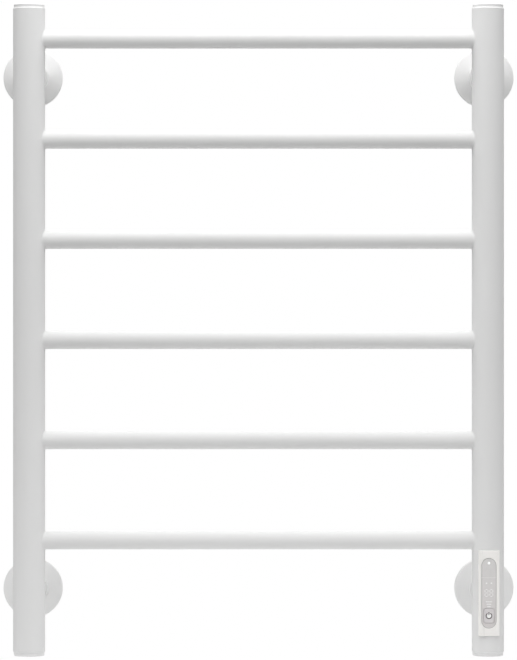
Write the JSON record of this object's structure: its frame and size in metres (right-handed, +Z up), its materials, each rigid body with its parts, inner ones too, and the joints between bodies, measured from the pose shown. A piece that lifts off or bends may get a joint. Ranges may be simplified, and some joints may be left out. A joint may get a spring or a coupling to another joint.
{
  "type": "towel warmer rack",
  "caption": "Wall-mounted electric ladder towel warmer with round posts and rungs, telescopic wall brackets under sliding rosettes and a push-button control.",
  "frame": {"origin": "centre of the eight wall screw holes, in the plane of the wall", "axes": "+Z up, +Y into the wall, so the front of the rack faces -Y; +X to the right of a person facing it"},
  "size_m": [0.518, 0.0876, 0.65],
  "materials": {
    "powder_coat": "smooth satin powder coat",
    "cap_plastic": "satin moulded plastic",
    "zinc_steel": "zinc plated",
    "black_rubber": "matte",
    "cable_silicone": "matte silicone",
    "earth_insulation": "matte",
    "brass": "satin",
    "dark_plastic": "moulded, fine matte",
    "housing_plastic": "moulded, matte",
    "bezel_plastic": "semi-gloss moulded plastic",
    "lens_plastic": "polished, smoke-grey tinted",
    "clear_plastic": "polished clear",
    "board_laminate": "solder mask",
    "relay_plastic": "moulded",
    "key_plastic": "satin moulded plastic"
  },
  "bodies": {
    "wall_side": {"wall_base_top_left": "zinc_steel", "wall_base_top_right": "zinc_steel", "wall_base_bottom_left": "zinc_steel", "wall_base_bottom_right": "zinc_steel", "supply_gland": "black_rubber"},
    "rack": {"left_post": "powder_coat", "right_post": "powder_coat", "rung_1": "powder_coat", "rung_2": "powder_coat", "rung_3": "powder_coat", "rung_4": "powder_coat", "rung_5": "powder_coat", "rung_6": "powder_coat", "end_cap_top_left": "cap_plastic", "end_cap_top_right": "cap_plastic", "end_cap_bottom_left": "cap_plastic", "end_cap_bottom_right": "cap_plastic", "leg_top_left": "powder_coat", "leg_top_right": "powder_coat", "leg_bottom_left": "powder_coat", "leg_bottom_right": "powder_coat", "leg_set_screws": "zinc_steel", "heating_cable": "cable_silicone", "cable_end_seal": "black_rubber", "cold_lead_splice": "black_rubber", "cold_lead": "cable_silicone", "thermal_cutout": "brass", "temperature_sensor": "dark_plastic", "sensor_lead": "cable_silicone", "earth_stud": "zinc_steel", "earth_ring": "brass", "earth_nut": "zinc_steel", "earth_lead": "earth_insulation", "terminal_block": "housing_plastic", "terminal_screws": "zinc_steel", "terminal_pins": "brass", "control_housing": "housing_plastic", "control_gasket": "black_rubber", "control_bezel": "bezel_plastic", "control_lens": "lens_plastic", "control_board": "board_laminate", "board_screws": "zinc_steel", "display": "dark_plastic", "indicator_led": "clear_plastic", "light_guide": "clear_plastic", "push_switch": "dark_plastic", "relay": "relay_plastic", "capacitor": "dark_plastic"},
    "cover_top_left": {"rosette_top_left": "powder_coat", "rosette_ring_top_left": "black_rubber"},
    "cover_top_right": {"rosette_top_right": "powder_coat", "rosette_ring_top_right": "black_rubber"},
    "cover_bottom_left": {"rosette_bottom_left": "powder_coat", "rosette_ring_bottom_left": "black_rubber"},
    "cover_bottom_right": {"rosette_bottom_right": "powder_coat", "rosette_ring_bottom_right": "black_rubber"},
    "key": {"power_key": "key_plastic", "switch_plunger": "housing_plastic"}
  },
  "joints": [
    {"name": "wall_distance", "type": "slide", "parent": "wall_side", "child": "rack", "axis": [0, -1, 0], "range_m": [-0.006, 0.006]},
    {"name": "cover_slide_top_left", "type": "slide", "parent": "wall_side", "child": "cover_top_left", "axis": [0, -1, 0], "range_m": [0, 0.02]},
    {"name": "cover_slide_top_right", "type": "slide", "parent": "wall_side", "child": "cover_top_right", "axis": [0, -1, 0], "range_m": [0, 0.02]},
    {"name": "cover_slide_bottom_left", "type": "slide", "parent": "wall_side", "child": "cover_bottom_left", "axis": [0, -1, 0], "range_m": [0, 0.02]},
    {"name": "cover_slide_bottom_right", "type": "slide", "parent": "wall_side", "child": "cover_bottom_right", "axis": [0, -1, 0], "range_m": [0, 0.02]},
    {"name": "power_key_press", "type": "slide", "parent": "rack", "child": "key", "axis": [0, 1, 0], "range_m": [0, 0.0006], "stiffness_N_per_m": 600, "springref_m": -0.001}
  ]
}
